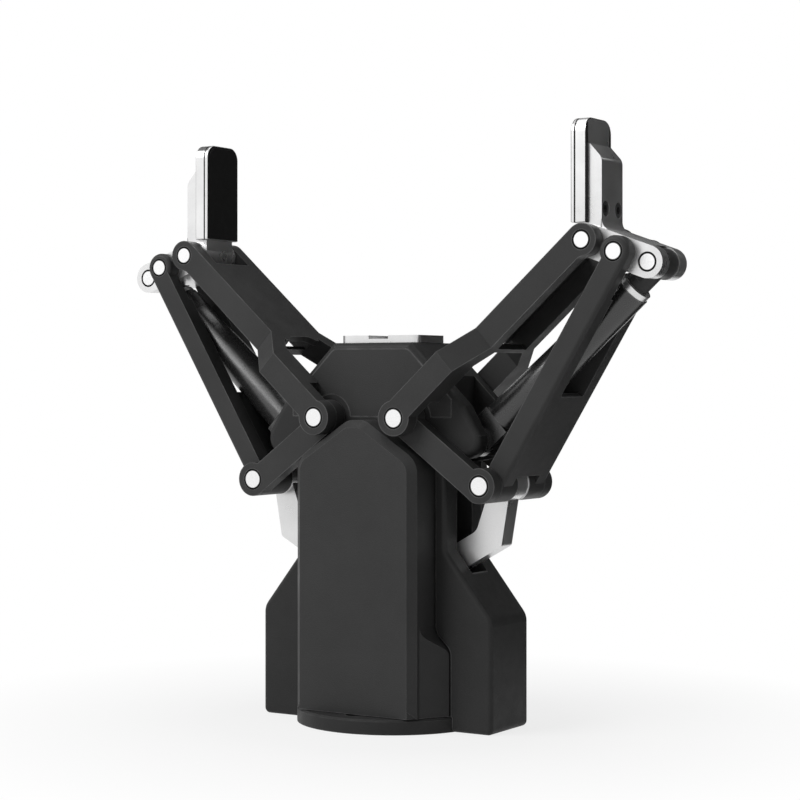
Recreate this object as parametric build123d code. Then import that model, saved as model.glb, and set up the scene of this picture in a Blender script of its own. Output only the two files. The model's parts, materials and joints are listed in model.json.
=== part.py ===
"""Two-finger adaptive robot gripper, millimetres, +Z up, jaws open along X.

The face that meets the robot is Z = 0. The right half is drawn and mirrored to
the left. Links are drawn in their own frames, X along the link from its first
pivot and Z across it, then turned onto their pivots. The links stand open.
"""

import os
from math import atan2, cos, degrees, hypot, radians, sin, sqrt

from build123d import *

# Pivots of the right side in the front view, X and Z.
BODY_PIVOT = (16.1, 105.3)
KNEE_PIVOT = (45.7, 83.2)
FINGER_PIVOT = (80.4, 163.3)
OUTER_PIVOT = (91.8, 159.2)
STRUT_TOP = (101.2, 155.8)
SCREW_PIVOT = (15.0, 50.56)
STRUT_ANCHOR = (
    BODY_PIVOT[0] + STRUT_TOP[0] - FINGER_PIVOT[0],
    BODY_PIVOT[1] + STRUT_TOP[1] - FINGER_PIVOT[1],
)

# Pins, and the clearances that every fit uses.
LARGE_PIN_R = 3.6
SMALL_PIN_R = 3.2
SCREW_PIN_R = 2.5
FIT = 0.05
GAP = 0.2
PIN_CHAMFER = 0.3
FAR = 300.0

# Depth of each layer, measured from the middle plane.
ROD_DEPTH = 3.6
WASHER_DEPTH = (3.7, 4.2)
KNEE_BOSS_DEPTH = 4.3
OUTER_INSIDE = 8.2
FINGER_DEPTH = 9.5
PLATE_INSIDE = 9.8
PLATE_OUTSIDE = 15.0
CRANK_DEPTH = (15.2, 20.4)
ARM_DEPTH = (20.6, 26.0)
STRUT_EYE_DEPTH = 3.8
LUG_GAP = 9.4

# Flange and the housing casting.
FLANGE_R = 33.5
FLANGE_H = 5.0
BOLT_PCD = 50.0
BOLT_R = 2.5
DOWEL_R = 3.0
REGISTER_R = 15.0
REGISTER_H = 2.0
WING_HALF = 46.3
WING_TOP = 38.0
HOUSING_DEPTH = 12.9
BODY_HALF = 28.6
SHOULDER_Z = 60.5
HOUSING_TOP = 90.0
HOUSING_ROUND = 1.6
MOTOR_BAY_HALF = 18.4
MOTOR_BAY_BOTTOM = 7.6
BAY_HALF = 22.6
BAY_BOTTOM = 40.0
ROD_SLOT_HALF = 5.2
ROD_SLOT_BOTTOM = 48.5
ROD_SLOT_REACH = 34.5
RECESS_H = 1.4
RECESS_GAP = 0.7

# Covers on the front and the back.
COVER_HALF = 24.1
COVER_FACE = 26.35
COVER_TOP = 104.5
COVER_PEAK_HALF = 3.4
COVER_SLOPE = 0.6525
COVER_WALL = 2.4
COVER_EDGE = 2.6
COVER_SHOULDER_R = 8.0
COVER_PEAK_R = 6.0
FLARE_HALF = 30.0
FLARE_TOP = 27.05
CONNECTOR_Z = 18.0
CONNECTOR_R = 7.0

# Upper housing.
UPPER_TOP = 130.9
UPPER_TOP_HALF = 15.6
UPPER_SHOULDER = (37.0, 109.5)
LUG_R = 6.0
LUG_SLOT_X = 27.0
ANCHOR_PIN_Y = (-12.0, 14.5)
EDGE_ROUND = 2.2
PANEL_H = 1.2
PANEL_BOTTOM = 105.6
PLATE_SIZE = (31.6, 19.0, 2.6)

# Drive inside the housing.
MOTOR_R = 18.0
MOTOR_Z = (8.6, 22.5)
GEARBOX_R = 16.0
GEARBOX_Z = (22.6, 33.0)
COUPLING_Z = (33.3, 39.7)
LOWER_PLATE_Z = (40.0, 43.5)
UPPER_PLATE_Z = (90.2, 95.0)
SCREW_R = 4.0
SCREW_JOURNAL_R = 3.0
NUT_R = 7.0
GUIDE_R = 2.5
GUIDE_Y = 14.5
CROSSHEAD_Z = (44.0, 57.0)
CROSSHEAD_DEPTH = 20.0
EAR_DEPTH = (4.0, 8.0)
EAR_R = 6.2
FORK_X = 8.6
EAR_SLACK = (1.05, 0.75)

# Inner link, along and across its own line.
INNER_LOW = -3.6
INNER_HIGH = 5.3
INNER_EYE_R = 6.0
INNER_TIP_R = 5.3
ARM_STEP = 12.0
FACET = (27.2, 39.0)
INSIDE_FACET = (30.0, 36.5)
WEB_H = 2.4
WEB_SPAN = (36.5, 76.5)
WEB_CORNER = 6.0
RIB_SPAN = (36.7, 38.4)
RIB_H = 2.6

# Crank and outer link.
CRANK_LOW = -5.8
CRANK_HIGH = 3.2
CRANK_EYE_R = 6.0
KNEE_EYE_R = 5.9
OUTER_LOW = -5.2
OUTER_HIGH = 2.5
OUTER_TIP_R = 5.2
OUTER_WEB_SPAN = (6.3, 37.5)
OUTER_WEB_H = 2.2
OUTER_WEB_CORNER = 1.0
OUTER_RELIEF = 74.0
OUTER_ROUND = 1.5

# Spring strut, along from its lower eye.
STRUT_EYE_R = 5.6
STRUT_FORK = 2.0
STRUT_NECK_DEPTH = 7.0
STRUT_TUBE_START = 10.6
STRUT_TAPER_END = 54.6
STRUT_COLLAR = (74.0, 76.0)
STRUT_WIDE_R = 7.2
STRUT_NARROW_R = 6.0
STRUT_COLLAR_R = 5.6
STRUT_ROD_R = 4.0
STRUT_ROD_START = 46.0
STRUT_BORE_R = 5.0
STRUT_TIP_R = 5.0

# Drive rod.
ROD_LEG_HALF = 4.45
ROD_LEG_ANGLE = 29.3
ROD_ELBOWS = (31.8, 25.8)
ROD_HEAD_HALF = (4.7, 2.8)
ROD_TIP_R = 4.9

# Finger.
FINGER_EYE_R = 5.3
OPEN_BORE_SLACK = 0.75
UPRIGHT_HALF = 7.75
UPRIGHT_X = (75.5, 84.3)
UPRIGHT_TOP = (80.0, 195.0)
UPRIGHT_SHOULDER = 190.2
TIP_X = (73.6, 79.4)
TIP_Z = (169.3, 203.7)
TIP_HALF = 9.4
TIP_CORNER = 3.8
PAD_FACE = 73.45
PAD_DEPTH = 2.0
PAD_MARGIN = 1.15
TIP_CHAMFER = 0.9
PAD_RIBS = 7
PAD_RIB_H = 0.5
TIP_SCREW_Y = 4.7
TIP_SCREW_Z = 173.8
TIP_SCREW_HEAD_R = 2.5
TIP_SCREW_HEAD_H = 2.4


def slab(outline, near, far):
    """Solid of a front-view outline between two depths."""
    face = Plane(origin=(0, far, 0), x_dir=(1, 0, 0), z_dir=(0, -1, 0))
    return extrude(face * outline, far - near, dir=(0, -1, 0))


def tablet(outline, low, high):
    """Solid of a top-view outline between two heights."""
    return extrude(Plane.XY.offset(low) * outline, high - low, dir=(0, 0, 1))


def front_and_back(part):
    """The part and its copy on the other side of the middle plane."""
    return part + mirror(part, about=Plane.XZ)


def box_between(x, y, z):
    """Box from three pairs of limits."""
    size = [high - low for low, high in (x, y, z)]
    middle = [(low + high) / 2 for low, high in (x, y, z)]
    return Pos(*middle) * Box(*size)


def span(x, z):
    """Front-view rectangle from two pairs of limits."""
    return Pos((x[0] + x[1]) / 2, (z[0] + z[1]) / 2) * Rectangle(x[1] - x[0], z[1] - z[0])


def disc(centre, radius):
    """Front-view circle."""
    return Pos(*centre) * Circle(radius)


def bore(centre, radius):
    """Hole through the whole depth."""
    return slab(disc(centre, radius), -FAR, FAR)


def pin(centre, radius, half_length):
    """Pin across the gripper with chamfered ends."""
    body = slab(disc(centre, radius), -half_length, half_length)
    ends = body.faces().filter_by(Axis.Y).edges()
    return chamfer(ends, PIN_CHAMFER)


def heading(start, end):
    """Angle in degrees and length of the line between two pivots."""
    across = end[0] - start[0]
    rise = end[1] - start[1]
    return degrees(atan2(rise, across)), hypot(across, rise)


def place(part, start, end):
    """Turn a part drawn along X onto the line between two pivots."""
    angle, _ = heading(start, end)
    return Pos(start[0], 0, start[1]) * Rot(0, -angle, 0) * part


def symmetric(points):
    """Closed front-view outline from right-side points, bottom to top."""
    left = [(-x, z) for x, z in reversed(points)]
    return Polygon(*points, *left, align=None)


def rounded(outline, corners, radius):
    """Round the outline's corners at the given points and their mirrors."""
    found = []
    for vertex in outline.vertices():
        if any(hypot(abs(vertex.X) - x, vertex.Y - z) < FIT for x, z in corners):
            found.append(vertex)
    return fillet(found, radius)


def cylinder_z(radius, z, x=0.0, y=0.0):
    """Upright cylinder between two heights."""
    return tablet(Pos(x, y) * Circle(radius), z[0], z[1])


def cylinder_x(radius, x, y=0.0, z=0.0):
    """Cylinder along X between two limits."""
    face = Plane(origin=(x[0], y, z), x_dir=(0, 1, 0), z_dir=(1, 0, 0))
    return extrude(face * Circle(radius), x[1] - x[0])


def around_screw_posts():
    """Places of the four screws that hold the flange to the housing."""
    return [(x, y) for x in (-26.0, 26.0) for y in (-7.0, 7.0)]


def bolt_places():
    """Places of the four tapped holes for the robot's bolts."""
    reach = BOLT_PCD / 2 / sqrt(2)
    return [(x * reach, y * reach) for x in (-1, 1) for y in (-1, 1)]


def base_flange():
    """Round mounting flange with register, tapped holes and dowel hole."""
    disk = cylinder_z(FLANGE_R, (0, FLANGE_H))
    disk = chamfer(disk.faces().sort_by(Axis.Z)[-1].edges(), 0.6)
    disk -= cylinder_z(REGISTER_R, (0, REGISTER_H))
    for x, y in bolt_places():
        disk -= cylinder_z(BOLT_R, (0, FLANGE_H), x, y)
    disk -= cylinder_z(DOWEL_R, (0, FLANGE_H), 0, -BOLT_PCD / 2)
    for x, y in around_screw_posts():
        disk -= cylinder_z(2.0 + FIT, (0, FLANGE_H), x, y)
        disk -= cylinder_z(3.5 + FIT, (0, 2.4), x, y)
    return disk


def flange_screws():
    """Low-head screws from the flange's underside into the housing."""
    screws = []
    for x, y in around_screw_posts():
        screw = cylinder_z(3.5, (0.1, 2.35), x, y) + cylinder_z(2.0, (2.0, 14.0), x, y)
        screws.append(screw - tablet(Pos(x, y) * RegularPolygon(1.4, 6), 0, 1.4))
    return Compound(children=screws)


def cover_outline(margin=0.0):
    """Front outline of a cover above the flare."""
    foot = COVER_TOP - COVER_SLOPE * (COVER_HALF - COVER_PEAK_HALF)
    corners = [(COVER_HALF, FLANGE_H + GAP), (COVER_HALF, foot), (COVER_PEAK_HALF, COVER_TOP)]
    outline = rounded(symmetric(corners), [corners[1]], COVER_SHOULDER_R)
    outline = rounded(outline, [corners[2]], COVER_PEAK_R)
    if margin:
        outline = offset(outline, margin, kind=Kind.INTERSECTION)
    return outline


def flare_outline():
    """Front outline of the wide foot of a cover."""
    start = FLARE_TOP + FLARE_HALF - COVER_HALF
    corners = [
        (FLARE_HALF, FLANGE_H + GAP),
        (FLARE_HALF, FLARE_TOP),
        (COVER_HALF, start),
        (COVER_HALF, start + 8),
    ]
    outline = rounded(symmetric(corners), [corners[1]], 4.0)
    return rounded(outline, [corners[2]], 6.0)


def cover_seat():
    """Recess in the housing's front face that takes the cover's rim."""
    seat = offset(cover_outline() + flare_outline(), RECESS_GAP, kind=Kind.INTERSECTION)
    return slab(seat, -FAR, -(HOUSING_DEPTH - RECESS_H))


def main_housing():
    """Casting with the side wings, the motor bay and the crosshead bay."""
    corners = [
        (WING_HALF, 0),
        (WING_HALF, WING_TOP),
        (BODY_HALF, SHOULDER_Z),
        (BODY_HALF, HOUSING_TOP),
    ]
    outline = rounded(symmetric(corners), [corners[1]], 6.0)
    outline = rounded(outline, [corners[2]], 4.0)
    outline = rounded(outline, [corners[0]], 2.0)
    body = slab(outline, -HOUSING_DEPTH, HOUSING_DEPTH)
    rims = [e for e in body.faces().filter_by(Axis.Y).edges() if abs(e.center().X) > BODY_HALF / 2]
    body = fillet(rims, HOUSING_ROUND)
    body -= cylinder_z(FLANGE_R + GAP, (-1, FLANGE_H))
    motor_bay = span((-MOTOR_BAY_HALF, MOTOR_BAY_HALF), (MOTOR_BAY_BOTTOM, BAY_BOTTOM + 1))
    body -= slab(motor_bay, -FAR, FAR)
    body -= slab(span((-BAY_HALF, BAY_HALF), (BAY_BOTTOM, FAR)), -FAR, FAR)
    body -= box_between(
        (-ROD_SLOT_REACH, ROD_SLOT_REACH), (-ROD_SLOT_HALF, ROD_SLOT_HALF), (ROD_SLOT_BOTTOM, FAR)
    )
    body -= front_and_back(cover_seat())
    for x, y in around_screw_posts():
        body -= cylinder_z(2.0 + FIT, (0, 14.2), x, y)
    return body


def front_cover():
    """Hollow cover with a chamfered peak and a flared foot."""
    back = -(HOUSING_DEPTH - RECESS_H + FIT)
    shell = slab(cover_outline(), -COVER_FACE, back)
    shell = chamfer(shell.faces().sort_by(Axis.Y)[0].edges(), COVER_EDGE)
    flat = COVER_HALF - COVER_EDGE
    lean = (FLARE_HALF - flat) / (COVER_FACE - HOUSING_DEPTH)
    foot = flat + lean * (COVER_FACE + back)
    wedge = Polygon((-foot, back), (foot, back), (flat, -COVER_FACE), (-flat, -COVER_FACE), align=None)
    shell += slab(flare_outline(), -COVER_FACE, back) & tablet(wedge, 0, FAR)
    shell -= slab(cover_outline(-COVER_WALL), -(COVER_FACE - COVER_WALL), 0)
    upper_gap = span((-FAR, FAR), (HOUSING_TOP - FIT, FAR))
    return shell - slab(upper_gap, -(PLATE_OUTSIDE + GAP / 2), 0)


def rear_cover():
    """The front cover's twin with a round opening for the connector."""
    shell = mirror(front_cover(), about=Plane.XZ)
    return shell - slab(disc((0, CONNECTOR_Z), CONNECTOR_R + FIT), 0, FAR)


def connector_socket():
    """Round flanged socket for the power and signal connector."""
    face = COVER_FACE + FIT
    body = slab(disc((0, CONNECTOR_Z), CONNECTOR_R), face - 5.0, face + 4.0)
    body += slab(disc((0, CONNECTOR_Z), CONNECTOR_R + 2.0), face, face + 1.5)
    body -= slab(disc((0, CONNECTOR_Z), CONNECTOR_R - 1.2), face - 2.0, face + 5.0)
    insert = disc((0, CONNECTOR_Z), CONNECTOR_R - 2.6)
    return body + slab(insert, face - 2.2, face + 2.0)


def upper_outline():
    """Front outline of the upper housing, with the strut lugs."""
    corners = [
        (BODY_HALF, HOUSING_TOP + 2 * FIT),
        (STRUT_ANCHOR[0] + 1.0, STRUT_ANCHOR[1] - LUG_R),
        (STRUT_ANCHOR[0] + LUG_R, STRUT_ANCHOR[1] + 1.7),
        UPPER_SHOULDER,
        (UPPER_TOP_HALF, UPPER_TOP),
    ]
    outline = symmetric(corners)
    outline += disc(STRUT_ANCHOR, LUG_R)
    return outline + disc((-STRUT_ANCHOR[0], STRUT_ANCHOR[1]), LUG_R)


def panel_outline():
    """Front outline of the flat panels of the upper housing."""
    top = UPPER_TOP - EDGE_ROUND
    half = UPPER_TOP_HALF - 0.6
    drop = top - PANEL_BOTTOM - 6.0
    return rounded(
        symmetric([(half + drop, PANEL_BOTTOM), (half + drop, PANEL_BOTTOM + 6.0), (half, top)]),
        [(half, top)],
        3.0,
    )


def upper_panels():
    """Thin front and back panels set into the upper housing."""
    outline = panel_outline()
    for side in (-1, 1):
        outline -= disc((side * BODY_PIVOT[0], BODY_PIVOT[1]), LUG_R + 2)
    return front_and_back(slab(outline, -PLATE_OUTSIDE, -(PLATE_OUTSIDE - PANEL_H)))


def upper_housing():
    """Casting that carries the link pivots and, in side slots, the strut feet."""
    body = slab(upper_outline(), -PLATE_OUTSIDE, PLATE_OUTSIDE)
    rims = [e for e in body.faces().filter_by(Axis.Y).edges() if e.center().Z > HOUSING_TOP + 1]
    body = fillet(rims, EDGE_ROUND)
    panels = offset(panel_outline(), FIT, kind=Kind.INTERSECTION)
    body -= front_and_back(slab(panels, -FAR, -(PLATE_OUTSIDE - PANEL_H - FIT)))
    for side in (-1, 1):
        pivot = (side * BODY_PIVOT[0], BODY_PIVOT[1])
        body += slab(disc(pivot, LUG_R + 2 - FIT), -PLATE_OUTSIDE, PLATE_OUTSIDE)
        body -= bore(pivot, LARGE_PIN_R + FIT)
        anchor = disc((side * STRUT_ANCHOR[0], STRUT_ANCHOR[1]), SMALL_PIN_R + FIT)
        body -= slab(anchor, ANCHOR_PIN_Y[0] - GAP, FAR)
        outside = sorted((side * LUG_SLOT_X, side * FAR))
        body -= box_between(outside, (-LUG_GAP, LUG_GAP), (0, FAR))
        inside = sorted((side * BAY_HALF / 2, side * FAR))
        body -= box_between(inside, (-ROD_SLOT_HALF, ROD_SLOT_HALF), (0, HOUSING_TOP + 4))
    body -= box_between((-11.2, 11.2), (-FAR, FAR), (0, UPPER_PLATE_Z[1] + GAP))
    return body - cylinder_z(SCREW_JOURNAL_R + 1, (0, UPPER_PLATE_Z[1] + 5))


def top_plate():
    """Plate on the upper housing with a shallow channel across it."""
    length, width, height = PLATE_SIZE
    outline = RectangleRounded(length, width, 2.5)
    plate = tablet(outline, UPPER_TOP + FIT, UPPER_TOP + height)
    channel = box_between((-4.2, 3.7), (-FAR, FAR), (UPPER_TOP + height - 1.2, FAR))
    return plate - channel


def drive_motor():
    """Flat electric motor with a raised rear boss."""
    body = cylinder_z(MOTOR_R, MOTOR_Z)
    body = chamfer(body.edges(), 0.6)
    return body + cylinder_z(8.0, (MOTOR_Z[0] - 0.8, MOTOR_Z[0]))


def gearbox():
    """Reduction gearbox on the motor, with its output bore."""
    body = cylinder_z(GEARBOX_R, GEARBOX_Z)
    return body - cylinder_z(SCREW_JOURNAL_R + FIT, (GEARBOX_Z[1] - 5, GEARBOX_Z[1]))


def screw_plates():
    """Plates under and over the crosshead that hold the screw and the guides."""
    low = box_between((-20.8, 20.8), (-19, 19), LOWER_PLATE_Z)
    high = box_between((-11, 11), (-19, 19), UPPER_PLATE_Z)
    for y in (-GUIDE_Y, GUIDE_Y):
        low -= cylinder_z(GUIDE_R + FIT, LOWER_PLATE_Z, 0, y)
        high -= cylinder_z(GUIDE_R + FIT, UPPER_PLATE_Z, 0, y)
    low -= cylinder_z(6.0 + FIT, LOWER_PLATE_Z)
    high -= cylinder_z(6.0 + FIT, UPPER_PLATE_Z)
    return Compound(children=[low, high])


def screw_bearings():
    """Ball bearings of the screw, one in each plate."""
    rings = []
    for z in (LOWER_PLATE_Z, (UPPER_PLATE_Z[0], UPPER_PLATE_Z[1] - 1)):
        rings.append(cylinder_z(6.0, z) - cylinder_z(SCREW_JOURNAL_R + FIT, z))
    return Compound(children=rings)


def guide_rods():
    """Two round rods that keep the crosshead from turning."""
    height = (LOWER_PLATE_Z[0] + GAP / 2, UPPER_PLATE_Z[1] - GAP / 2)
    return Compound(children=[cylinder_z(GUIDE_R, height, 0, y) for y in (-GUIDE_Y, GUIDE_Y)])


def control_board():
    """Circuit board with its main chips behind the rear cover."""
    board = box_between((-18, 18), (20.6, 22.2), (46, 86))
    for z, size in ((56, 10), (74, 7)):
        board += box_between((-size / 2, size / 2), (22.2, 23.4), (z - size / 2, z + size / 2))
    return board


def lead_screw():
    """Trapezoidal screw with plain journals at both ends."""
    body = cylinder_z(SCREW_R, (LOWER_PLATE_Z[1] + 0.2, UPPER_PLATE_Z[0] - 0.2))
    return body + cylinder_z(SCREW_JOURNAL_R, (GEARBOX_Z[1] - 4.8, UPPER_PLATE_Z[1]))


def screw_coupling():
    """Clamping sleeve between the gearbox and the screw."""
    body = cylinder_z(8.0, COUPLING_Z) - cylinder_z(SCREW_JOURNAL_R + FIT, COUPLING_Z)
    return body - box_between((0, 9), (-0.5, 0.5), COUPLING_Z)


def ear_outline(side):
    """Front outline of one crosshead ear."""
    x, z = SCREW_PIVOT
    neck = sorted((side * 4.0, side * x))
    return disc((side * x, z), EAR_R) + span(neck, (z - EAR_R, z + EAR_R))


def crosshead():
    """Nut carrier with forked ears for the two drive rods."""
    low, high = CROSSHEAD_Z
    body = box_between((-9, 9), (-CROSSHEAD_DEPTH, CROSSHEAD_DEPTH), (low, high))
    for side in (-1, 1):
        body += slab(ear_outline(side), -EAR_DEPTH[1], EAR_DEPTH[1])
        centre = (side * SCREW_PIVOT[0], SCREW_PIVOT[1])
        outside = sorted((side * FORK_X, side * FAR))
        body -= box_between(outside, (-EAR_DEPTH[0], EAR_DEPTH[0]), (0, FAR))
        slack_x, slack_z = EAR_SLACK
        hole = Pos(*centre) * RectangleRounded(
            2 * (SCREW_PIN_R + slack_x), 2 * (SCREW_PIN_R + slack_z), SCREW_PIN_R
        )
        body -= slab(hole, -FAR, FAR)
    body -= cylinder_z(NUT_R + FIT, (0, FAR))
    for y in (-GUIDE_Y, GUIDE_Y):
        body -= cylinder_z(GUIDE_R + 1, (0, FAR), 0, y)
    return body


def screw_nut():
    """Bronze nut in the crosshead."""
    low, high = CROSSHEAD_Z
    return cylinder_z(NUT_R, (low + 0.1, high - 0.1)) - cylinder_z(SCREW_R + FIT, CROSSHEAD_Z)


def slide_bushes():
    """Plain bushes of the crosshead on the guide rods."""
    bushes = []
    for y in (-GUIDE_Y, GUIDE_Y):
        bush = cylinder_z(GUIDE_R + 1 - FIT, CROSSHEAD_Z, 0, y)
        bushes.append(bush - cylinder_z(GUIDE_R + FIT, CROSSHEAD_Z, 0, y))
    return Compound(children=bushes)


def inner_profile(length):
    """Side outline of the inner link's plates."""
    bar = span((0, length), (INNER_LOW, INNER_HIGH))
    outline = Circle(INNER_EYE_R) + bar + disc((length, 0), INNER_TIP_R)
    neck = length - sqrt(INNER_TIP_R**2 - INNER_LOW**2)
    return rounded(outline, [(neck, INNER_LOW)], 4.0)


def inner_link():
    """Fork casting: wide arms on the body, a slanted facet, a webbed blade."""
    _, length = heading(BODY_PIVOT, FINGER_PIVOT)
    tip = length + INNER_TIP_R + 1
    butt = -INNER_EYE_R - 1
    plan = Polygon(
        (butt, -ARM_DEPTH[1]),
        (FACET[0], -ARM_DEPTH[1]),
        (FACET[1], -PLATE_OUTSIDE),
        (tip, -PLATE_OUTSIDE),
        (tip, -PLATE_INSIDE),
        (INSIDE_FACET[1], -PLATE_INSIDE),
        (INSIDE_FACET[0], -CRANK_DEPTH[0]),
        (ARM_STEP, -CRANK_DEPTH[0]),
        (ARM_STEP, -ARM_DEPTH[0]),
        (butt, -ARM_DEPTH[0]),
        align=None,
    )
    arm = slab(inner_profile(length), -ARM_DEPTH[1], -PLATE_INSIDE) & tablet(plan, -FAR, FAR)
    body = front_and_back(arm)
    body += inner_web()
    body += box_between(RIB_SPAN, (-PLATE_INSIDE, PLATE_INSIDE), (INNER_LOW, INNER_LOW + RIB_H))
    body -= bore((0, 0), LARGE_PIN_R + FIT)
    body -= bore((length, 0), SMALL_PIN_R + FIT)
    return place(body, BODY_PIVOT, FINGER_PIVOT)


def inner_web():
    """Grasp-side web between the blades, its lower end arched."""
    start = INSIDE_FACET[1] - 2
    web = span((start, WEB_SPAN[1]), (-PLATE_INSIDE - 0.5, PLATE_INSIDE + 0.5))
    mouth = Pos(WEB_SPAN[0] - 30, 0) * RectangleRounded(60, 2 * PLATE_INSIDE, WEB_CORNER)
    return tablet(web - mouth, INNER_HIGH - WEB_H, INNER_HIGH)


def cranks():
    """Front and back crank plates between the body pivot and the knee."""
    _, length = heading(BODY_PIVOT, KNEE_PIVOT)
    outline = Circle(CRANK_EYE_R) + disc((length, 0), KNEE_EYE_R)
    outline += span((0, length), (CRANK_LOW, CRANK_HIGH))
    plate = slab(outline, -CRANK_DEPTH[1], -CRANK_DEPTH[0])
    plate -= bore((0, 0), LARGE_PIN_R + FIT)
    plate -= bore((length, 0), LARGE_PIN_R + FIT)
    plate = place(plate, BODY_PIVOT, KNEE_PIVOT)
    return Compound(children=[plate, mirror(plate, about=Plane.XZ)])


def knee_washers():
    """Thrust washers between the drive rod and the outer link."""
    ring = disc(KNEE_PIVOT, KNEE_EYE_R) - disc(KNEE_PIVOT, LARGE_PIN_R + FIT)
    washer = slab(ring, -WASHER_DEPTH[1], -WASHER_DEPTH[0])
    return Compound(children=[washer, mirror(washer, about=Plane.XZ)])


def outer_link():
    """Channel-shaped outer link, webbed over its lower part."""
    _, length = heading(KNEE_PIVOT, OUTER_PIVOT)
    outline = Circle(KNEE_EYE_R) + span((0, length), (OUTER_LOW, OUTER_HIGH))
    outline += disc((length, 0), OUTER_TIP_R)
    plate = slab(outline, -PLATE_OUTSIDE, -OUTER_INSIDE)
    rim = [
        e
        for e in plate.faces().sort_by(Axis.Y)[0].edges().filter_by(Axis.X)
        if e.center().Z < 0
    ]
    plate = fillet(rim, OUTER_ROUND)
    plate -= box_between((OUTER_RELIEF, FAR), (-PLATE_INSIDE, 0), (-FAR, FAR))
    plate += slab(Circle(KNEE_EYE_R), -PLATE_OUTSIDE, -KNEE_BOSS_DEPTH)
    body = front_and_back(plate) + outer_web()
    body -= bore((0, 0), LARGE_PIN_R + FIT)
    body -= bore((length, 0), SMALL_PIN_R + FIT)
    return place(body, KNEE_PIVOT, OUTER_PIVOT)


def outer_web():
    """Outer web between the plates of the outer link."""
    start, end = OUTER_WEB_SPAN
    web = span((start, end + 8), (-OUTER_INSIDE - 0.5, OUTER_INSIDE + 0.5))
    mouth = Pos(end + 30, 0) * RectangleRounded(60, 2 * OUTER_INSIDE, OUTER_WEB_CORNER)
    return tablet(web - mouth, OUTER_LOW, OUTER_LOW + OUTER_WEB_H)


def strut_tube():
    """Tapered tube of the spring strut, its lower eye forked round the drive rod."""
    profile = Polygon(
        (STRUT_TUBE_START, 0),
        (STRUT_TUBE_START, STRUT_WIDE_R),
        (STRUT_TAPER_END, STRUT_NARROW_R),
        (STRUT_COLLAR[0] - FIT, STRUT_NARROW_R),
        (STRUT_COLLAR[0] - FIT, 0),
        align=None,
    )
    tube = revolve(Plane.XZ * profile, Axis.X)
    neck = Circle(STRUT_EYE_R) + span((0, STRUT_TUBE_START), (-STRUT_EYE_R, STRUT_EYE_R))
    tube += slab(neck, -STRUT_NECK_DEPTH, STRUT_NECK_DEPTH)
    tube += slab(Circle(STRUT_EYE_R), -LUG_GAP + GAP, LUG_GAP - GAP)
    tube -= box_between((-FAR, STRUT_FORK), (-ROD_DEPTH - GAP, ROD_DEPTH + GAP), (-FAR, FAR))
    tube -= cylinder_x(STRUT_BORE_R, (STRUT_TUBE_START + 4, STRUT_COLLAR[0] + 1))
    tube -= bore((0, 0), SMALL_PIN_R + FIT)
    return place(tube, STRUT_ANCHOR, STRUT_TOP)


def strut_collar():
    """Collar that closes the strut tube around the rod."""
    ring = cylinder_x(STRUT_COLLAR_R, STRUT_COLLAR) - cylinder_x(STRUT_ROD_R + FIT, STRUT_COLLAR)
    return place(ring, STRUT_ANCHOR, STRUT_TOP)


def strut_rod():
    """Sliding rod of the strut with its upper eye and its piston."""
    _, length = heading(STRUT_ANCHOR, STRUT_TOP)
    rod = cylinder_x(STRUT_ROD_R, (STRUT_ROD_START, length))
    rod = rod & slab(span((0, length), (-FAR, FAR)), -STRUT_EYE_DEPTH, STRUT_EYE_DEPTH)
    rod += cylinder_x(STRUT_ROD_R, (STRUT_ROD_START, length - 8))
    rod += cylinder_x(STRUT_BORE_R - FIT, (STRUT_ROD_START, STRUT_ROD_START + 4))
    rod += slab(disc((length, 0), STRUT_TIP_R), -STRUT_EYE_DEPTH, STRUT_EYE_DEPTH)
    rod -= bore((length, 0), SMALL_PIN_R + FIT)
    return place(rod, STRUT_ANCHOR, STRUT_TOP)


def rod_leg(distance, across):
    """Front-view point on the drive rod's lower leg."""
    angle = radians(ROD_LEG_ANGLE)
    x = SCREW_PIVOT[0] + distance * cos(angle) - across * sin(angle)
    return x, SCREW_PIVOT[1] + distance * sin(angle) + across * cos(angle)


def drive_rod():
    """Cranked rod from the crosshead to the knee."""
    outer_elbow = rod_leg(ROD_ELBOWS[0], -ROD_LEG_HALF)
    inner_elbow = rod_leg(ROD_ELBOWS[1], ROD_LEG_HALF)
    blade = Polygon(
        rod_leg(0, -ROD_LEG_HALF),
        outer_elbow,
        (KNEE_PIVOT[0] + ROD_HEAD_HALF[1], KNEE_PIVOT[1]),
        (KNEE_PIVOT[0] - ROD_HEAD_HALF[0], KNEE_PIVOT[1]),
        inner_elbow,
        rod_leg(0, ROD_LEG_HALF),
        align=None,
    )
    blade = rounded(blade, [inner_elbow], 5.0)
    blade = rounded(blade, [outer_elbow], 1.5)
    outline = blade + disc(SCREW_PIVOT, ROD_TIP_R) + disc(KNEE_PIVOT, KNEE_EYE_R - GAP)
    rod = slab(outline, -ROD_DEPTH, ROD_DEPTH)
    rod -= bore(SCREW_PIVOT, SCREW_PIN_R + FIT)
    return rod - bore(KNEE_PIVOT, LARGE_PIN_R + FIT)


def finger_hull():
    """Front outline of the finger base around its three pivots."""
    eyes = disc(FINGER_PIVOT, FINGER_EYE_R) + disc(STRUT_TOP, FINGER_EYE_R)
    return make_hull(eyes.edges())


def upright_outline():
    """Front outline of the finger's upright."""
    inner, outer = UPRIGHT_X
    step = TIP_X[1] + FIT
    return Polygon(
        (inner, FINGER_PIVOT[1]),
        (outer, FINGER_PIVOT[1]),
        (outer, UPRIGHT_SHOULDER),
        UPRIGHT_TOP,
        (step, UPRIGHT_TOP[1]),
        (step, TIP_Z[0] - FIT),
        (inner, TIP_Z[0] - FIT),
        align=None,
    )


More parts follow.
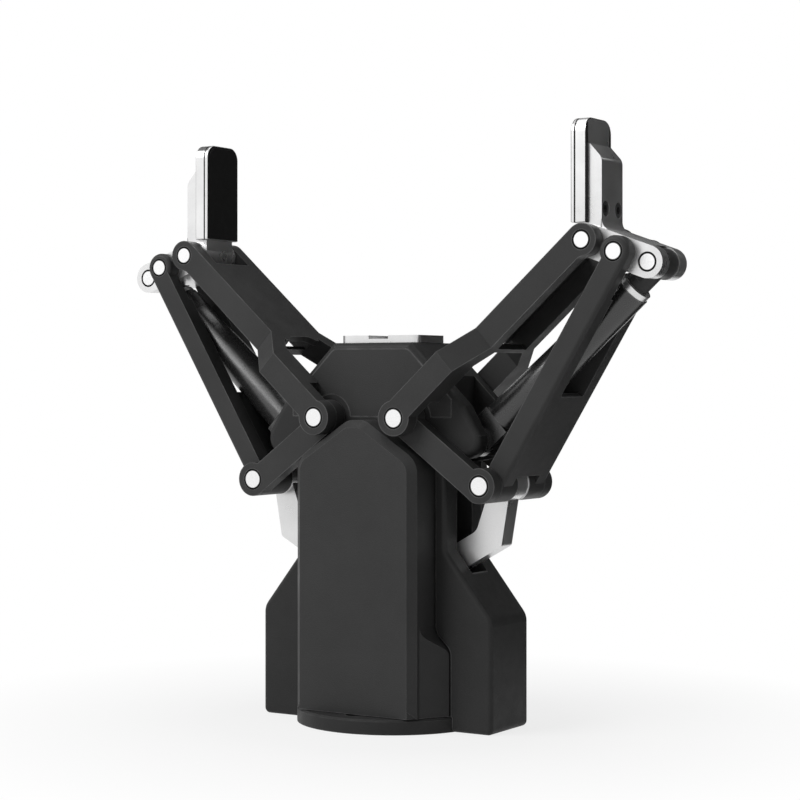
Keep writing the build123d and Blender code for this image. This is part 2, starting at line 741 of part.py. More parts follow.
def strut_swing():
    """Room that the strut's rod sweeps inside the finger base."""
    first, _ = heading(STRUT_TOP, STRUT_ANCHOR)
    last = first + 54.0
    half = STRUT_ROD_R + 0.4
    a, b = radians(first), radians(last)
    x, z = STRUT_TOP
    reach = 24.0
    wedge = Polygon(
        (x + half * sin(a), z - half * cos(a)),
        (x + half * sin(a) + reach * cos(a), z - half * cos(a) + reach * sin(a)),
        (x - half * sin(b) + reach * cos(b), z + half * cos(b) + reach * sin(b)),
        (x - half * sin(b), z + half * cos(b)),
        align=None,
    )
    return wedge + disc(STRUT_TOP, STRUT_TIP_R + 0.6)


def finger_base():
    """Machined finger with three pivots and the seat of the fingertip."""
    body = slab(finger_hull(), -FINGER_DEPTH, FINGER_DEPTH)
    body += slab(upright_outline() + finger_hull(), -UPRIGHT_HALF, UPRIGHT_HALF)
    body -= slab(strut_swing(), -STRUT_EYE_DEPTH - GAP, STRUT_EYE_DEPTH + GAP)
    body -= bore(FINGER_PIVOT, SMALL_PIN_R + FIT)
    body -= bore(STRUT_TOP, SMALL_PIN_R + FIT)
    body -= bore(OUTER_PIVOT, SMALL_PIN_R + OPEN_BORE_SLACK)
    for y in (-TIP_SCREW_Y, TIP_SCREW_Y):
        body -= cylinder_x(1.5 + FIT, (TIP_X[0], FAR), y, TIP_SCREW_Z)
        sunk = UPRIGHT_X[1] - TIP_SCREW_HEAD_H - 0.2
        body -= cylinder_x(TIP_SCREW_HEAD_R + GAP / 2, (sunk, FAR), y, TIP_SCREW_Z)
    return body


def tip_plate(x, margin):
    """Rounded upright plate of the fingertip between two X limits."""
    height = TIP_Z[1] - TIP_Z[0]
    face = Plane(origin=(x[0], 0, (TIP_Z[0] + TIP_Z[1]) / 2), x_dir=(0, 1, 0), z_dir=(1, 0, 0))
    outline = RectangleRounded(2 * (TIP_HALF - margin), height - 2 * margin, TIP_CORNER - margin)
    return extrude(face * outline, x[1] - x[0])


def fingertip_block():
    """Aluminium fingertip with the pocket of the rubber pad."""
    block = tip_plate(TIP_X, 0)
    block = chamfer(block.faces().sort_by(Axis.X)[0].edges(), TIP_CHAMFER)
    block -= tip_plate((TIP_X[0] - 1, PAD_FACE + PAD_DEPTH + FIT), PAD_MARGIN - FIT)
    for y in (-TIP_SCREW_Y, TIP_SCREW_Y):
        block -= cylinder_x(1.5 + FIT, (76.0, FAR), y, TIP_SCREW_Z)
    return block


def finger_pad():
    """Rubber pad with upright ribs."""
    pad = tip_plate((PAD_FACE, PAD_FACE + PAD_DEPTH), PAD_MARGIN)
    pitch = 2 * (TIP_HALF - PAD_MARGIN) / PAD_RIBS
    low, high = TIP_Z[0] + 2 * PAD_MARGIN, TIP_Z[1] - 2 * PAD_MARGIN
    for index in range(1, PAD_RIBS):
        y = -TIP_HALF + PAD_MARGIN + index * pitch
        pad -= box_between((0, PAD_FACE + PAD_RIB_H), (y - 0.35, y + 0.35), (low, high))
    return pad


def fingertip_screws():
    """Two socket-head screws through the finger into the fingertip."""
    screws = []
    top = UPRIGHT_X[1] - 0.15
    base = top - TIP_SCREW_HEAD_H
    for y in (-TIP_SCREW_Y, TIP_SCREW_Y):
        screw = cylinder_x(1.5, (76.2, base + 1), y, TIP_SCREW_Z)
        screw += cylinder_x(TIP_SCREW_HEAD_R, (base, top), y, TIP_SCREW_Z)
        socket = Plane(origin=(base + 1, y, TIP_SCREW_Z), x_dir=(0, 1, 0), z_dir=(1, 0, 0))
        screws.append(screw - extrude(socket * RegularPolygon(1.3, 6), TIP_SCREW_HEAD_H))
    return Compound(children=screws)


def body_pins(centre, radius, depth):
    """A pair of pins of the body, right and left, between two depths."""
    near, far = depth
    right = Pos(0, (near + far) / 2, 0) * pin(centre, radius, (far - near) / 2)
    return Compound(children=[right, mirror(right, about=Plane.YZ)])


def right_side():
    """The named pieces of the right linkage."""
    return {
        "inner_link": inner_link(),
        "finger_pin": pin(FINGER_PIVOT, SMALL_PIN_R, PLATE_OUTSIDE),
        "cranks": cranks(),
        "knee_pin": pin(KNEE_PIVOT, LARGE_PIN_R, CRANK_DEPTH[1]),
        "knee_washers": knee_washers(),
        "outer_link": outer_link(),
        "outer_pin": pin(OUTER_PIVOT, SMALL_PIN_R, PLATE_OUTSIDE),
        "strut_tube": strut_tube(),
        "strut_collar": strut_collar(),
        "strut_rod": strut_rod(),
        "strut_pin": pin(STRUT_TOP, SMALL_PIN_R, FINGER_DEPTH),
        "finger_base": finger_base(),
        "fingertip_block": fingertip_block(),
        "finger_pad": finger_pad(),
        "fingertip_screws": fingertip_screws(),
        "drive_rod": drive_rod(),
        "rod_pin": pin(SCREW_PIVOT, SCREW_PIN_R, EAR_DEPTH[1]),
    }


def middle():
    """The named pieces of the body and the drive."""
    return {
        "base_flange": base_flange(),
        "flange_screws": flange_screws(),
        "main_housing": main_housing(),
        "front_cover": front_cover(),
        "rear_cover": rear_cover(),
        "connector_socket": connector_socket(),
        "upper_housing": upper_housing(),
        "upper_panels": upper_panels(),
        "top_plate": top_plate(),
        "body_pivot_pins": body_pins(BODY_PIVOT, LARGE_PIN_R, (-ARM_DEPTH[1], ARM_DEPTH[1])),
        "strut_anchor_pins": body_pins(STRUT_ANCHOR, SMALL_PIN_R, ANCHOR_PIN_Y),
        "drive_motor": drive_motor(),
        "gearbox": gearbox(),
        "screw_plates": screw_plates(),
        "screw_bearings": screw_bearings(),
        "guide_rods": guide_rods(),
        "control_board": control_board(),
        "lead_screw": lead_screw(),
        "screw_coupling": screw_coupling(),
        "crosshead": crosshead(),
        "screw_nut": screw_nut(),
        "slide_bushes": slide_bushes(),
    }


def main():
    """Build every piece and write one file for each."""
    os.makedirs("parts", exist_ok=True)
    for name, part in middle().items():
        export_step(part, f"parts/{name}.step")
    for name, part in right_side().items():
        export_step(part, f"parts/right_{name}.step")
        export_step(mirror(part, about=Plane.YZ), f"parts/left_{name}.step")


main()
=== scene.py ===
import json
from math import cos, radians, sin, tan

import bmesh
import bpy
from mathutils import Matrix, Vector


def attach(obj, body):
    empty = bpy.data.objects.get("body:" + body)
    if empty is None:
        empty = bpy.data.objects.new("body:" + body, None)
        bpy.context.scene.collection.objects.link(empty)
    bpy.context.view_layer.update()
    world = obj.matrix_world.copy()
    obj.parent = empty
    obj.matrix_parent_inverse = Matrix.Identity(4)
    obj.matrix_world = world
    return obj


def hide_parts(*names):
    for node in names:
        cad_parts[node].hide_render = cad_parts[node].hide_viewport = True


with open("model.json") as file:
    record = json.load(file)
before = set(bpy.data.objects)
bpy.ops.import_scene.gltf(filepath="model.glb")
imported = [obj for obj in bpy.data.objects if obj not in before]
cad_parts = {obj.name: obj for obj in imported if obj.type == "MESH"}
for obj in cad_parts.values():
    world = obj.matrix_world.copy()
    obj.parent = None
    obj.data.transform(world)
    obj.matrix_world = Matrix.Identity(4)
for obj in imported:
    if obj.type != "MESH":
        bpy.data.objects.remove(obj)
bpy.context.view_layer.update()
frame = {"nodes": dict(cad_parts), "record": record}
nodes = frame["nodes"]

# Lengths are in metres, areas in square metres, scales in cells per metre, and
# greys go from 0 to 255. A side's number is the way along X that it opens.
SIDES = {"right": 1, "left": -1}

# A face is shaded flat when it looks along an axis or is wide.
FLAT_NORMAL = 0.999
WIDE_FACE = 3e-5
SMOOTH_ANGLE = radians(30)

# Edges that get a bevel, faces that count as one, and points that coincide.
SHARP_ANGLE = radians(50)
LEVEL_ANGLE = radians(0.5)
FLAT_GAP = 1e-6

# Finishes.
NOISE_ROUGHNESS = 0.6
BUMP_DEPTH = 0.0002
# Within the reach, outer edges are lightened in patches to the edge grey, partly as rubbing on the
# edges and partly as a painted edge highlight.
EDGE_REACH = 0.0004
EDGE_OPENNESS = (0.55, 0.92)
EDGE_SAMPLES = 6
EDGE_WEAR_AND_HIGHLIGHT_GREY = 150
COAT_CLOUDS = 35.0
COAT_GRAIN = 2600.0
COAT_RUBS = 160.0
BLAST_CLOUDS = 60.0
BLAST_GRAIN = 3400.0
BLAST_METAL = 0.85
TURNED_LINES = 900.0
TURNED_CLOUDS = 80.0
TURNED_METAL = 0.9
RUBBER_DUST = 220.0
RUBBER_SKIN = 1800.0
# Pins: width of the painted shadow ring round each end, grain and metal share.
PIN_SHADOW_RIM = 0.0007
PIN_GRAIN = 3000.0
PIN_METAL = 0.8
BOARD_TRACKS = 420.0

# Upright and arm of the right finger base, mirrored for the left.
UPRIGHT_HALF = 0.00775
UPRIGHT_OUTER = 0.0843
UPRIGHT_SHOULDER = 0.1902
RIDGE_GAP = 5e-5
SHOULDER_CUT = 0.0012
SHOULDER_STEPS = 5
FINGER_PIVOT = Vector((0.0804, 0, 0.1633))
STRUT_PIVOT = Vector((0.1012, 0, 0.1558))
PIVOT_EYE = 0.0053
FOOT_ROUND = 0.0038
FOOT_SUNK = 0.0002
FOOT_STEPS = 10

# Fingertip block and its pad. The groove runs between two depths behind the
# inner face. The groove, the step between the block and the upright, the
# outer rim and the seat are painted dark as shadow.
TIP_SEAT = 0.0004
TIP_CORNER = 0.0046
CORNER_STEPS = 12
TIP_EDGE = 0.00025
EDGE_STEPS = 2
TIP_GROOVE = (0.0014, 0.0020)
TIP_GROOVE_DEPTH = 0.0004
TIP_RIM = 0.0003
RIM_TILT = (0.6, 0.8)
TIP_STEP = 0.0016
PAD_RIM = 0.0009
PAD_FOOT = 0.0003
PAD_EDGE = 0.00015
PAD_RIBS = 7
PAD_GROOVE = 0.0006
PAD_GROOVE_DEPTH = 0.00035
PAD_GROOVE_END = 0.0012

# Studio and view. The floor glows more towards its far end, so that only a
# soft shadow is left round the foot.
MIDDLE = (0.0, 0.0, 0.11)
FLOOR_SIZE = 8.0
FLOOR_WHITE = (0.93, 0.93, 0.93, 1.0)
FLOOR_GLOW = 0.8
FADE_START = 0.06
FADE_END = 0.18
SKY_LEVEL = 0.06
CARD_GREY = 25
WHITE = (1.0, 1.0, 1.0, 1.0)
CAMERA_PLACE = (0.3790, -0.6066, 0.11811)
CAMERA_TURN = radians(32.0)
CAMERA_LENS = 92.37
CAMERA_SENSOR = 36.0
CAMERA_SHIFT = (0.00834, -0.02505)
CAMERA_NEAR = 0.01


def found(sockets, key):
    """Socket of a number, or of a name whose blanks are written as underscores."""
    if isinstance(key, int):
        return sockets[key]
    return next(each for each in sockets if each.identifier.replace(" ", "_") == key)


def fill(target, value):
    """Link a wire to a socket, or set a value on it."""
    if isinstance(value, Wire):
        value.tree.links.new(value.socket, target)
    else:
        target.default_value = value


def feed(made, **values):
    """Link wires or set values on the named sockets of a node."""
    for key, value in values.items():
        fill(found(made.inputs, key), value)


class Wire:
    """A shader socket that sums, products and differences can be written with."""

    def __init__(self, tree, socket=None):
        self.tree = tree
        self.socket = socket

    def node(self, kind, settings, *inputs, output=0, **named):
        """Add a node, set it up, feed its sockets and return one output."""
        made = self.tree.nodes.new(kind)
        for name, value in settings.items():
            setattr(made, name, value)
        for target, value in zip(made.inputs, inputs):
            fill(target, value)
        feed(made, **named)
        return Wire(self.tree, found(made.outputs, output))

    def math(self, operation, first, second):
        """Add a Math node on two values."""
        return self.node("ShaderNodeMath", {"operation": operation}, first, second)

    def __add__(self, other):
        return self.math("ADD", self, other)

    def __radd__(self, other):
        return self.math("ADD", other, self)

    def __sub__(self, other):
        return self.math("SUBTRACT", self, other)

    def __rsub__(self, other):
        return self.math("SUBTRACT", other, self)

    def __mul__(self, other):
        return self.math("MULTIPLY", self, other)

    def __rmul__(self, other):
        return self.math("MULTIPLY", other, self)


def limits(node):
    """Lowest and highest corner of a CAD node."""
    points = [vertex.co for vertex in nodes[node].data.vertices]
    low = Vector([min(point[axis] for point in points) for axis in range(3)])
    high = Vector([max(point[axis] for point in points) for axis in range(3)])
    return low, high


def linear(level):
    """Linear value of a screen level from 0 to 255."""
    share = level / 255
    return share / 12.92 if share <= 0.04045 else ((share + 0.055) / 1.055) ** 2.4


def grey(level):
    """Linear colour of a screen grey."""
    return (linear(level), linear(level), linear(level), 1.0)


def noise(place, scale, detail=3.0):
    """Noise value over the object, scale in cells per metre."""
    return place.node(
        "ShaderNodeTexNoise",
        {},
        Vector=place,
        Scale=scale,
        Detail=detail,
        Roughness=NOISE_ROUGHNESS,
        output="Fac",
    )


def part_of(vector, axis):
    """One axis of a vector wire."""
    return vector.node("ShaderNodeSeparateXYZ", {}, vector, output=axis)


def ramp(value, low, high, first=0.0, last=1.0):
    """Value moved from the range low..high to first..last, clamped."""
    return value.node("ShaderNodeMapRange", {"clamp": True}, value, low, high, first, last)


def blend(mask, first, second):
    """Colour mixed from two by a mask."""
    return mask.node(
        "ShaderNodeMix",
        {"data_type": "RGBA"},
        mask,
        A_Color=first,
        B_Color=second,
        output="Result_Color",
    )


def surface(name):
    """New material with its shader and a wire of object coordinates."""
    material = bpy.data.materials.new(name)
    material.use_nodes = True
    shader = material.node_tree.nodes["Principled BSDF"]
    place = Wire(material.node_tree).node("ShaderNodeTexCoord", {}, output="Object")
    return material, shader, place


def bump(height, strength):
    """Normal from a height wire."""
    return height.node(
        "ShaderNodeBump", {}, Strength=strength, Distance=BUMP_DEPTH, Height=height, output="Normal"
    )


def outer_edges(start):
    """1 along outer edges, fading out within the reach, where the rubbing and the painted edge
    highlight go.
    """
    settings = {"inside": True, "only_local": True, "samples": EDGE_SAMPLES}
    inside = start.node("ShaderNodeAmbientOcclusion", settings, Distance=EDGE_REACH, output="AO")
    return ramp(inside, *EDGE_OPENNESS, 1.0, 0.0)


def coated(name, dark, light, rough, grain, specular=0.2, wear_and_highlight_share=0.5):
    """Matt coat: faint clouding, fine grain, uneven polish, and outer edges lightened in patches,
    partly by rubbing and partly as a painted edge highlight.
    """
    material, shader, place = surface(name)
    clouds = noise(place, COAT_CLOUDS)
    specks = noise(place, COAT_GRAIN, 2.0)
    rubs = noise(place, COAT_RUBS, 5.0)
    shade = ramp(clouds * 0.7 + specks * 0.3, 0.38, 0.62)
    polish = ramp(rubs, 0.4, 0.75, rough + 0.06, rough - 0.06)
    # Outer edges lighten in patches: partly rubbing, partly a painted edge highlight.
    edge_wear_and_highlight = outer_edges(place) * ramp(rubs, 0.35, 0.6, 0.3, 1.0) * wear_and_highlight_share
    feed(
        shader,
        Base_Color=blend(edge_wear_and_highlight, blend(shade, dark, light), grey(EDGE_WEAR_AND_HIGHLIGHT_GREY)),
        Roughness=polish + (specks - 0.5) * 0.12,
        Specular_IOR_Level=specular,
        Normal=bump(specks, grain),
    )
    return material


def blasted(name, dark, light, rough):
    """Bead-blasted aluminium: pale, even, with a fine sparkle."""
    material, shader, place = surface(name)
    clouds = noise(place, BLAST_CLOUDS)
    specks = noise(place, BLAST_GRAIN, 2.0)
    shade = ramp(clouds * 0.6 + specks * 0.4, 0.35, 0.65)
    feed(
        shader,
        Base_Color=blend(shade, dark, light),
        Roughness=ramp(clouds, 0.3, 0.7, rough - 0.04, rough + 0.04),
        Metallic=BLAST_METAL,
        Normal=bump(specks, 0.015),
    )
    return material


def turned(name, dark, light, rough):
    """Turned or ground metal with fine lines along the height."""
    material, shader, place = surface(name)
    stretched = place.node("ShaderNodeMapping", {}, place, Scale=(0.05, 0.05, 1.0), output="Vector")
    marks = noise(stretched, TURNED_LINES, 4.0)
    clouds = noise(place, TURNED_CLOUDS)
    feed(
        shader,
        Base_Color=blend(ramp(marks * 0.6 + clouds * 0.4, 0.35, 0.65), dark, light),
        Roughness=ramp(marks, 0.3, 0.7, rough - 0.08, rough + 0.1),
        Metallic=TURNED_METAL,
        Normal=bump(marks, 0.1),
    )
    return material


def rubber(name):
    """Moulded rubber with a soft, faintly dusty skin."""
    material, shader, place = surface(name)
    dust = noise(place, RUBBER_DUST, 4.0)
    skin = noise(place, RUBBER_SKIN, 3.0)
    feed(
        shader,
        Base_Color=blend(ramp(dust, 0.45, 0.75), grey(9), grey(16)),
        Roughness=ramp(dust, 0.35, 0.7, 0.62, 0.8),
        Specular_IOR_Level=0.15,
        Normal=bump(skin, 0.25),
    )
    return material


def pin_steel(node):
    """Pin with shining ground ends, a painted near-black shadow ring at the rim of each end, and
    sides painted near-black as shade.
    """
    low, high = limits(node)
    radius = (high.z - low.z) / 2
    reach = max(abs(low.x), abs(high.x)) - radius
    material, shader, place = surface(f"{node}_steel")
    specks = noise(place, PIN_GRAIN, 2.0)
    sideways = part_of(place, "X")
    off = sideways.node("ShaderNodeMath", {"operation": "ABSOLUTE"}, sideways) - reach
    rise = part_of(place, "Z") - (low.z + high.z) / 2
    # Near-black paints the shadow ring round each end and the shade on the sides.
    inner, outer = (radius - PIN_SHADOW_RIM) ** 2, (radius - PIN_SHADOW_RIM * 0.8) ** 2
    inside = ramp(off * off + rise * rise, inner, outer, 1.0, 0.0)
    depth = part_of(place.node("ShaderNodeNewGeometry", {}, output="True_Normal"), "Y")
    unshaded_end = inside * ramp(depth * depth, 0.85, 0.95)
    ground = blend(ramp(specks, 0.35, 0.65), grey(236), grey(246))
    feed(
        shader,
        Base_Color=blend(unshaded_end, grey(10), ground),
        Roughness=ramp(specks, 0.3, 0.7, 0.3, 0.42),
        Metallic=unshaded_end * PIN_METAL,
        Specular_IOR_Level=0.2,
        Normal=bump(specks, 0.08),
    )
    return material


def board_finish(name):
    """Circuit board with paler tracks."""
    material, shader, place = surface(name)
    cells = place.node(
        "ShaderNodeTexVoronoi",
        {"distance": "MANHATTAN"},
        Vector=place,
        Scale=BOARD_TRACKS,
        output="Distance",
    )
    mask, tracks = (0.01, 0.06, 0.03, 1.0), (0.02, 0.14, 0.06, 1.0)
    feed(
        shader,
        Base_Color=blend(ramp(cells, 0.3, 0.5), mask, tracks),
        Roughness=ramp(cells, 0.2, 0.6, 0.3, 0.5),
    )
    return material


finishes = {
    "housing_black": coated("housing_coat", grey(45), grey(52), 0.5, 0.3),
    "cover_black": coated("cover_moulding", grey(58), grey(63), 0.47, 0.35),
    "link_black": coated("link_anodised", grey(57), grey(65), 0.44, 0.2),
    "silver": blasted("blasted_aluminium", grey(218), grey(230), 0.3),
    "steel": turned("turned_steel", grey(170), grey(205), 0.3),
    "pad_rubber": rubber("pad_rubber_skin"),
    "bronze": turned("bearing_bronze", (0.35, 0.2, 0.08, 1.0), (0.5, 0.32, 0.14, 1.0), 0.35),
    "board_green": board_finish("board_mask"),
    "motor_grey": coated("motor_coat", grey(95), grey(110), 0.45, 0.2),
    "screw_black": turned("black_oxide", grey(80), grey(100), 0.4),
}
# Flat dark coat that paints shadow into the fingertip's groove, steps, rim and seat.
painted_shadow_coat = coated("groove_anodised", grey(14), grey(20), 0.6, 0.1, wear_and_highlight_share=0.0)
strut_coat = coated("strut_anodised", grey(40), grey(50), 0.24, 0.1, specular=0.8)

for part in frame["record"]["subparts"]:
    mesh = nodes[part["node"]].data
    mesh.materials.clear()
    if part["node"].endswith(("_pin", "_pins")):
        mesh.materials.append(pin_steel(part["node"]))
    elif part["node"].endswith("_strut_tube"):
        mesh.materials.append(strut_coat)
    else:
        mesh.materials.append(finishes[part["material_slot"]])


def bevel_edges(made, edges, width, steps):
    """Round the given edges of a mesh."""
    bmesh.ops.bevel(
        made, geom=edges, offset=width, segments=steps, profile=0.5, affect="EDGES", material=-1
    )


def upright_slab(low, high, corner, edge, rim=None):
    """Slab whose two top corners are round, seen along X, with soft edges.

    A rim gives the place along X and the width of a wider edge.
    """
    made = bmesh.new()
    bmesh.ops.create_cube(made, size=1.0)
    bmesh.ops.scale(made, vec=high - low, verts=made.verts)
    bmesh.ops.translate(made, vec=(low + high) / 2, verts=made.verts)
    top = (low.z + high.z) / 2
    corners = []
    for line in made.edges:
        first, second = (vertex.co for vertex in line.verts)
        if abs(first.x - second.x) > abs(high.x - low.x) / 2 and first.z > top:
            corners.append(line)
    bevel_edges(made, corners, corner, CORNER_STEPS)
    if rim:
        place, width = rim
        around = [
            line
            for line in made.edges
            if all(abs(vertex.co.x - place) < FLAT_GAP for vertex in line.verts)
        ]
        bevel_edges(made, around, width, 1)
    sharp = [line for line in made.edges if line.calc_face_angle() > SHARP_ANGLE]
    bevel_edges(made, sharp, edge, EDGE_STEPS)
    return made


def cut_across(made, place, normal):
    """Divide a mesh at a plane."""
    parts = made.verts[:] + made.edges[:] + made.faces[:]
    bmesh.ops.bisect_plane(made, geom=parts, plane_co=place, plane_no=normal)


def grown(made, faces):
    """Extrude faces and return the new points."""
    parts = bmesh.ops.extrude_face_region(made, geom=faces)["geom"]
    return [part for part in parts if isinstance(part, bmesh.types.BMVert)]


def sink(made, faces, move):
    """Extrude faces and move the new points by a function of their place."""
    for vertex in grown(made, faces):
        vertex.co = move(vertex.co)


def new_object(name, data):
    """Object of a mesh or lamp in the scene."""
    piece = bpy.data.objects.new(name, data)
    bpy.context.scene.collection.objects.link(piece)
    return piece


def dressed(side, name, made, slot, node, *skins):
    """Finish a mesh as a piece of the finger that stands for a CAD node."""
    bmesh.ops.recalc_face_normals(made, faces=made.faces)
    for face in made.faces:
        is_straight = max(abs(part) for part in face.normal) >= FLAT_NORMAL
        face.smooth = not is_straight and face.calc_area() < WIDE_FACE
    for line in made.edges:
        line.smooth = line.calc_face_angle(0.0) < SMOOTH_ANGLE
    name = f"{side}_{name}"
    mesh = bpy.data.meshes.new(name)
    made.to_mesh(mesh)
    made.free()
    for skin in skins:
        mesh.materials.append(skin)
    piece = new_object(name, mesh)
    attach(piece, f"{side}_finger_body")
    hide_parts(node)


def concave_foot(made):
    """Add the hollow-cornered foot between the right upright and its arm."""
    along = (STRUT_PIVOT - FINGER_PIVOT).normalized()
    above = Vector((-along.z, 0, along.x))
    start = FINGER_PIVOT + above * PIVOT_EYE
    corner = start + along * (UPRIGHT_OUTER - start.x) / along.x
    rise = Vector((0, 0, 1))
    opening = rise.angle(along)
    reach = FOOT_ROUND / tan(opening / 2)
    back = Vector((0, -UPRIGHT_HALF, 0))
    corner += back
    top = corner + rise * reach
    first = made.verts.new(top)
    bmesh.ops.spin(
        made,
        geom=[first],
        cent=top + Vector((FOOT_ROUND, 0, 0)),
        axis=(0, 1, 0),
        dvec=(0, 0, 0),
        angle=opening - radians(180),
        steps=FOOT_STEPS,
    )
    arc = sorted(made.verts, key=lambda vertex: -vertex.co.z)
    sunk = -above * FOOT_SUNK
    inside = Vector((-FOOT_SUNK, 0, 0))
    under = [arc[-1].co + sunk, corner + sunk + inside, top + inside]
    profile = made.faces.new(arc + [made.verts.new(place) for place in under])
    bmesh.ops.translate(made, vec=-2 * back, verts=grown(made, [profile]))


def finger_base(side):
    """Finger base with a hollow-cornered foot and a round shoulder."""
    node = f"{side}_finger_base"
    outward = SIDES[side]
    foot = bmesh.new()
    concave_foot(foot)
    bmesh.ops.scale(foot, vec=(outward, 1, 1), verts=foot.verts)
    shape = bpy.data.meshes.new("foot")
    foot.to_mesh(shape)
    foot.free()
    made = bmesh.new()
    made.from_mesh(nodes[node].data)
    bmesh.ops.remove_doubles(made, verts=made.verts, dist=FLAT_GAP)
    bmesh.ops.dissolve_limit(made, angle_limit=LEVEL_ANGLE, verts=made.verts, edges=made.edges)
    ridge = Vector((outward * UPRIGHT_OUTER, UPRIGHT_SHOULDER))
    shoulder = [
        line
        for line in made.edges
        if all((vertex.co.xz - ridge).length < RIDGE_GAP for vertex in line.verts)
    ]
    bevel_edges(made, shoulder, SHOULDER_CUT, SHOULDER_STEPS)
    made.from_mesh(shape)
    bpy.data.meshes.remove(shape)
    dressed(side, "base", made, "silver", node, finishes["silver"])


def tip_body(side):
    """Fingertip block with a groove behind the pad's seat; the groove, steps, rim and seat are
    painted dark as shadow.
    """
    node = f"{side}_fingertip_block"
    low, high = limits(node)
    outward = SIDES[side]
    inner = low.x if outward > 0 else high.x
    if outward > 0:
        low.x += TIP_SEAT
    else:
        high.x -= TIP_SEAT
    outer = high.x if outward > 0 else low.x
    made = upright_slab(low, high, TIP_CORNER, TIP_EDGE, (outer, TIP_RIM))
    steps = (low.y + TIP_STEP, high.y - TIP_STEP)
    for step in steps:
        cut_across(made, (0, step, 0), (0, 1, 0))
    for face in made.faces:
        tilt = face.normal.x * outward
        is_beside = not steps[0] < face.calc_center_median().y < steps[1]
        is_step = tilt > FLAT_NORMAL and is_beside
        is_rim = RIM_TILT[0] < tilt < RIM_TILT[1]
        is_seat = tilt < -FLAT_NORMAL
        # Steps beside the upright, the outer rim and the seat take the painted shadow coat.
        face.material_index = int(is_step or is_rim or is_seat)
    near, far = sorted(inner + outward * place for place in TIP_GROOVE)
    for place in (near, far):
        cut_across(made, (place, 0, 0), (1, 0, 0))
    band = [face for face in made.faces if near < face.calc_center_median().x < far]
    middle = (low.z + high.z) / 2
    narrow = 1 - 2 * TIP_GROOVE_DEPTH / (high.y - low.y)
    short = 1 - 2 * TIP_GROOVE_DEPTH / (high.z - low.z)
    sink(made, band, lambda co: Vector((co.x, co.y * narrow, middle + (co.z - middle) * short)))
    # The groove's faces take the painted shadow coat as well.
    for face in made.faces:
        if near - FLAT_GAP < face.calc_center_median().x < far + FLAT_GAP:
            face.material_index = 1
    dressed(side, "tip_body", made, "silver", node, finishes["silver"], painted_shadow_coat)


def tip_pad(side):
    """Rubber pad over most of the inner face, with upright grooves."""
    node = f"{side}_finger_pad"
    face_low, face_high = limits(node)
    block_low, block_high = limits(f"{side}_fingertip_block")
    outward = SIDES[side]
    inner = face_low.x if outward > 0 else face_high.x
    seat = (block_low.x if outward > 0 else block_high.x) + outward * TIP_SEAT
    low = Vector((min(inner, seat), block_low.y + PAD_RIM, block_low.z + PAD_FOOT))
    high = Vector((max(inner, seat), block_high.y - PAD_RIM, block_high.z - PAD_RIM))
    made = upright_slab(low, high, TIP_CORNER - PAD_RIM, PAD_EDGE)
    pitch = (high.y - low.y) / PAD_RIBS
    edges = [
        low.y + index * pitch + half
        for index in range(1, PAD_RIBS)
        for half in (-PAD_GROOVE / 2, PAD_GROOVE / 2)
    ]
    for place in edges:
        cut_across(made, (0, place, 0), (0, 1, 0))
    reach = (low.z + PAD_GROOVE_END, high.z - PAD_GROOVE_END)
    for place in reach:
        cut_across(made, (0, 0, place), (0, 0, 1))
    grooves = []
    for face in made.faces:
        centre = face.calc_center_median()
        is_front = face.normal.x * outward < -FLAT_NORMAL and reach[0] < centre.z < reach[1]
        pairs = zip(edges[::2], edges[1::2])
        if is_front and any(first < centre.y < second for first, second in pairs):
            grooves.append(face)
    sink(made, grooves, lambda co: co + Vector((outward * PAD_GROOVE_DEPTH, 0, 0)))
    dressed(side, "tip_pad", made, "pad_rubber", node, finishes["pad_rubber"])


for side in SIDES:
    tip_body(side)
    tip_pad(side)
    finger_base(side)


def seen_rays(start):
    """1 for a camera, glossy or transmission ray, and 0 for light that lands."""
    seen = start.node("ShaderNodeLightPath", {}, output="Is_Camera_Ray")
    for kind in ("Is_Glossy_Ray", "Is_Transmission_Ray"):
        seen = seen.math("MAXIMUM", seen, start.node("ShaderNodeLightPath", {}, output=kind))
    return seen


def glowing_where(share, shader, kind, output):
    """Lead a shader to an output, with plain white light in its place by a share."""
    light = share.node(kind, {}, Color=WHITE, Strength=1.0)
    unlit = Wire(share.tree, shader.outputs[0])
    feed(output, Surface=share.node("ShaderNodeMixShader", {}, share, unlit, light))


def floor_finish():
    """White floor that takes a soft shadow round the object's foot."""
    material, shader, place = surface("pale_floor")
    feed(shader, Base_Color=FLOOR_WHITE, Roughness=0.9)
    away = place.node("ShaderNodeVectorMath", {"operation": "LENGTH"}, place, output="Value")
    glow = seen_rays(place) * ramp(away, FADE_START, FADE_END, FLOOR_GLOW, 1.0)
    glowing_where(glow, shader, "ShaderNodeEmission", place.tree.nodes["Material Output"])
    return material


def stage_plane(name, width, depth, material):
    """Flat stage piece round its own origin, facing up."""
    made = bmesh.new()
    bmesh.ops.create_grid(made, x_segments=1, y_segments=1, size=0.5)
    bmesh.ops.scale(made, vec=(width, depth, 1), verts=made.verts)
    mesh = bpy.data.meshes.new(name)
    made.to_mesh(mesh)
    made.free()
    mesh.materials.append(material)
    piece = new_object(name, mesh)
    return piece


def facing(place, aim):
    """Rotation that turns a lamp, or the back of a card, towards a place."""
    return (Vector(aim) - Vector(place)).to_track_quat("-Z", "Y").to_euler()


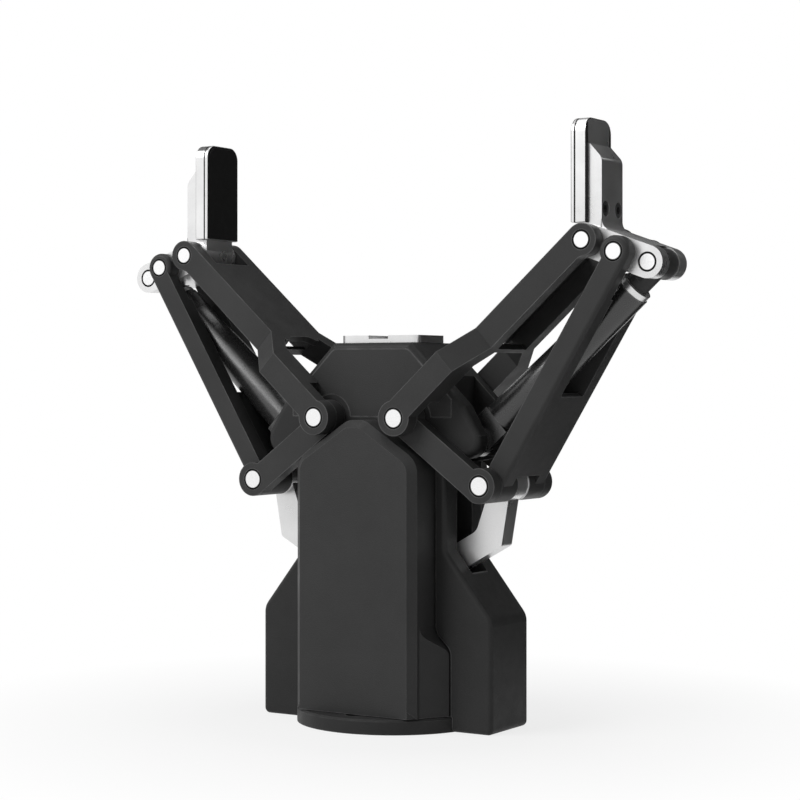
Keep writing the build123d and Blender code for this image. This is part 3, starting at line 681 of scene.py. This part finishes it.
def dark_card(name, place, size, aim):
    """Dark card beside the view, which only shining surfaces show."""
    material, shader, _ = surface(name)
    feed(shader, Base_Color=grey(CARD_GREY), Roughness=0.9, Specular_IOR_Level=0.0)
    card = stage_plane(name, size[0], size[1], material)
    card.location = place
    card.rotation_euler = facing(place, aim)
    card.visible_camera = False
    card.visible_diffuse = False
    card.visible_shadow = False


def studio_world():
    """White surroundings, dimmer for the light that lands."""
    world = bpy.data.worlds.new("studio")
    bpy.context.scene.world = world
    world.use_nodes = True
    tree = world.node_tree
    sky = tree.nodes["Background"]
    feed(sky, Color=WHITE, Strength=SKY_LEVEL)
    glowing_where(seen_rays(Wire(tree)), sky, "ShaderNodeBackground", tree.nodes["World Output"])


def lamp(name, place, size, watts):
    """Rectangular studio lamp that points at the object."""
    light = bpy.data.lights.new(name, "AREA")
    light.shape = "RECTANGLE"
    light.size, light.size_y = size
    light.energy = watts
    piece = new_object(name, light)
    piece.location = place
    piece.rotation_euler = facing(place, MIDDLE)


stage_plane("floor", FLOOR_SIZE, FLOOR_SIZE, floor_finish())
dark_card("rear_right_card", (0.36, 0.56, 0.15), (0.6, 0.7), MIDDLE)
dark_card("rear_upper_card", (0.02, 0.62, 0.50), (0.8, 0.45), MIDDLE)
dark_card("upper_left_card", (-0.60, 0.25, 0.85), (0.9, 0.8), MIDDLE)
dark_card("floor_card", (0.30, 0.36, 0.002), (0.5, 0.5), (0.30, 0.36, 1.0))
studio_world()
lamp("key", (-0.72, -1.0, 1.0), (1.0, 0.8), 12.6)
lamp("right_fill", (1.0, -0.45, 0.35), (0.6, 0.6), 0.1)
lamp("top", (0.0, 0.1, 1.0), (0.8, 0.6), 2.2)

view = bpy.data.cameras.new("photo_camera")
view.lens = CAMERA_LENS
view.sensor_width = CAMERA_SENSOR
view.shift_x, view.shift_y = CAMERA_SHIFT
view.clip_start = CAMERA_NEAR
camera = new_object("photo_camera", view)
camera.location = CAMERA_PLACE
ahead = Vector((-sin(CAMERA_TURN), cos(CAMERA_TURN), 0.0))
camera.rotation_euler = ahead.to_track_quat("-Z", "Y").to_euler()
bpy.context.scene.camera = camera
bpy.context.scene.view_settings.view_transform = "Standard"
